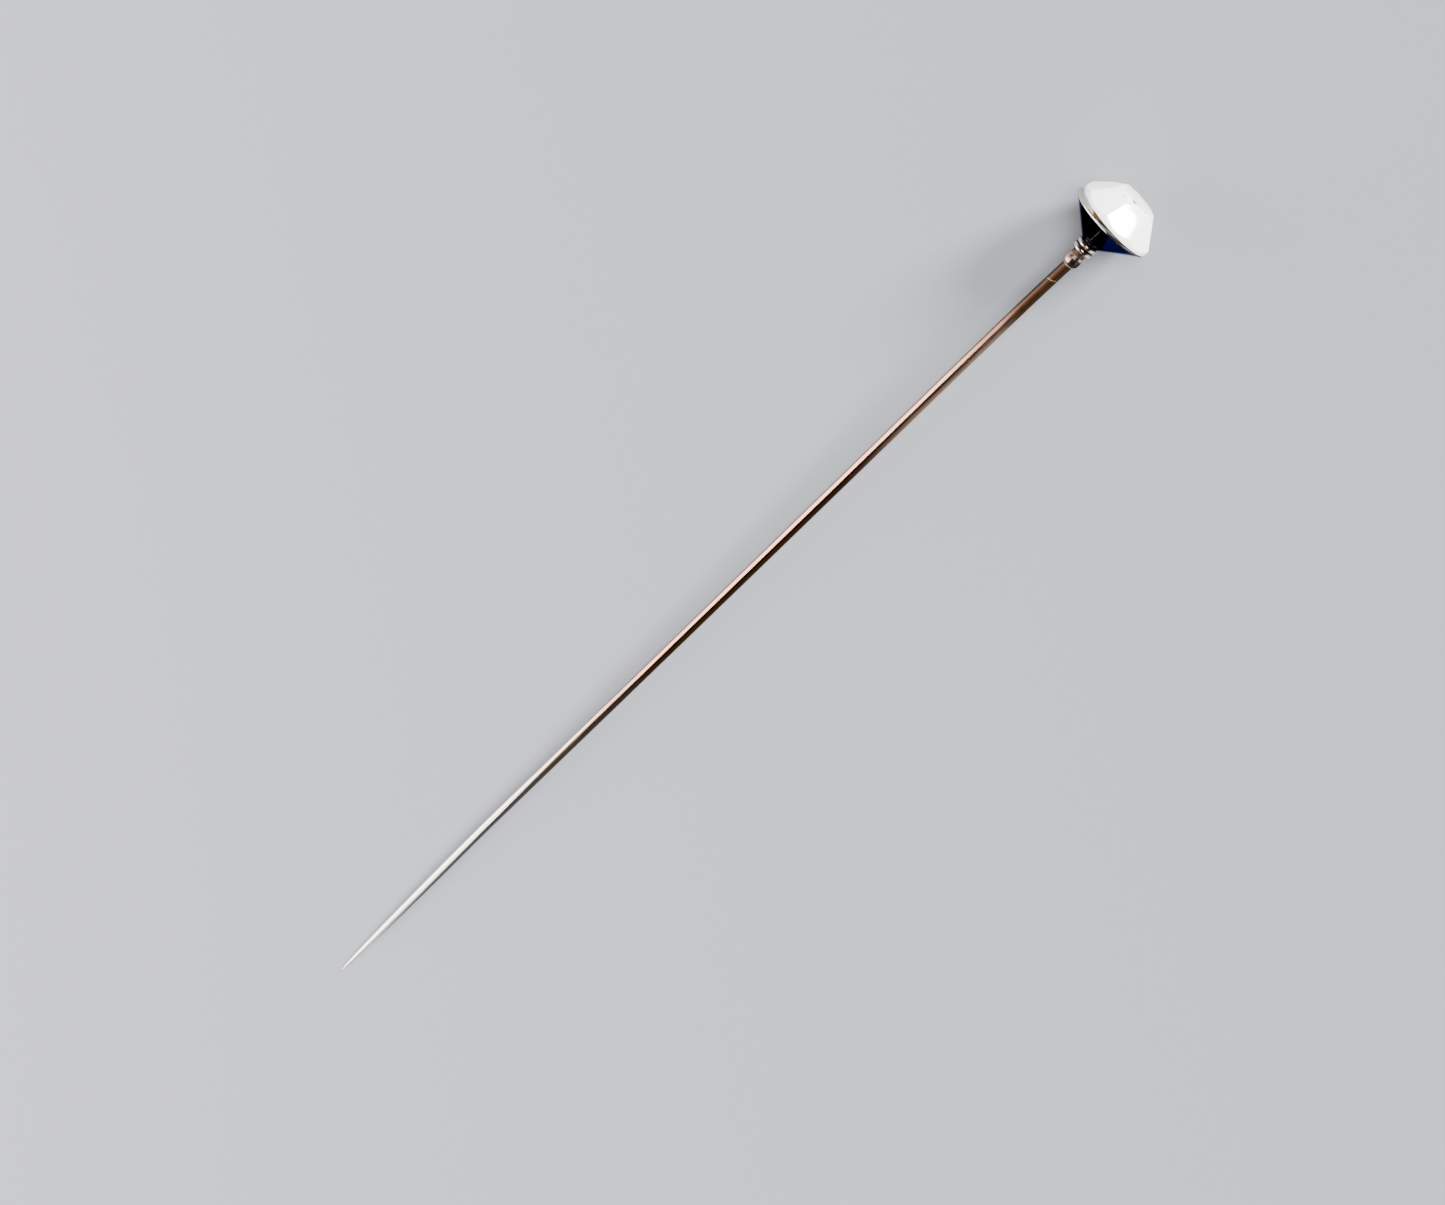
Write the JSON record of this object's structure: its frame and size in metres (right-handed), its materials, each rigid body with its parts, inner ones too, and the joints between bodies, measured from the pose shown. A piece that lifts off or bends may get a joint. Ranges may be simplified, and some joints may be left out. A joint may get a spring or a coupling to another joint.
{
  "type": "hat pin",
  "caption": "Hat pin: a long pointed steel shank, a ringed metal neck, a dark conical cup with a bright bezel, and a high faceted white glass stone.",
  "frame": {"origin": "on the pin's axis where the free shank begins, at the end of the solder under the neck", "axes": "+X along the shank towards the point, so the head is at negative X; +Z is the side that shows when the pin is worn"},
  "size_m": [0.1458, 0.0095, 0.0094],
  "materials": {
    "shank_steel": "steel with a brown tarnish over the upper two thirds, bright towards the point",
    "solder": "dull grey soft solder",
    "nickel_silver": "polished nickel silver, slightly warm, scratched",
    "black_cup": "glossy black lacquer over spun metal",
    "brass_washer": "plain brass",
    "cement": "brown jeweller's cement",
    "foil": "bright foil",
    "bezel_metal": "bright turned nickel silver, grey on the collar",
    "white_glass": "milky white pressed glass, polished facets"
  },
  "bodies": {
    "root": {"shank": "shank_steel", "shank_solder": "solder", "neck_sleeve": "nickel_silver", "lower_neck_ring": "nickel_silver", "upper_neck_ring": "nickel_silver", "neck_solder": "solder", "back_cup": "black_cup", "anchor_washer": "brass_washer", "cement_bed": "cement", "foil_backing": "foil", "bezel": "bezel_metal", "stone": "white_glass"}
  },
  "joints": []
}
